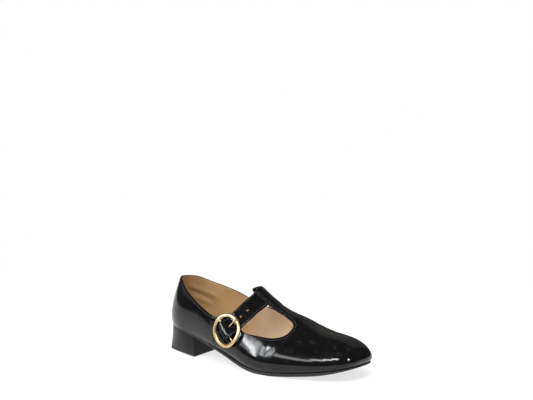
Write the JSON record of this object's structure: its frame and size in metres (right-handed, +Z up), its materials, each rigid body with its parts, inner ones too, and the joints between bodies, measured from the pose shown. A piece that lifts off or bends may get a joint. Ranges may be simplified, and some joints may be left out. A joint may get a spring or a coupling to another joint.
{
  "type": "women's t-strap flat shoe",
  "caption": "Right women's T-strap flat in black patent leather, tan inside, with a gold ring buckle on the outer side and a low block heel.",
  "frame": {"origin": "middle of the shoe's bounding box, on the ground", "axes": "+X from the heel to the toe, +Y to the inner side of the foot, +Z up"},
  "size_m": [0.2566, 0.092, 0.086],
  "materials": {
    "patent": "glossy patent",
    "lining": "smooth matt",
    "gold": "polished pale gold",
    "sole": "satin"
  },
  "bodies": {
    "root": {"upper": "patent", "strap": "patent", "buckle_chape": "patent", "buckle_frame": "gold", "buckle_prong": "gold", "insole": "lining", "outsole": "sole", "heel": "sole", "heel_top_piece": "sole"}
  },
  "joints": []
}
